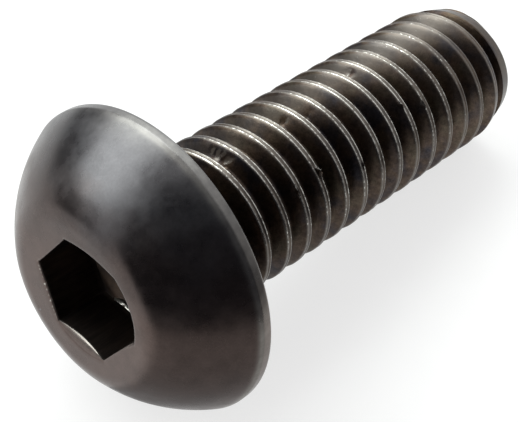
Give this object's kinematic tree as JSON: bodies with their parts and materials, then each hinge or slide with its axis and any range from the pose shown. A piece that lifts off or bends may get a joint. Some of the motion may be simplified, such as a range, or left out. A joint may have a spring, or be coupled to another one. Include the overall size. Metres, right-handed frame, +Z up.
{
  "type": "button head socket screw",
  "caption": "Short black steel machine screw with a low domed head, a hex socket in its top and a thread right up to the head.",
  "frame": {"origin": "bottom centre of the lying screw's box, on the table it rests on", "axes": "+X along the screw's length towards the tip, whose axis leans down by 9.5 degrees; +Z up; Y across"},
  "size_m": [0.0144, 0.0076, 0.0075],
  "materials": {
    "black_oxide_steel": "satin black oxide, worn bright on the thread's crests"
  },
  "bodies": {
    "root": {"screw": "black_oxide_steel"}
  },
  "joints": []
}
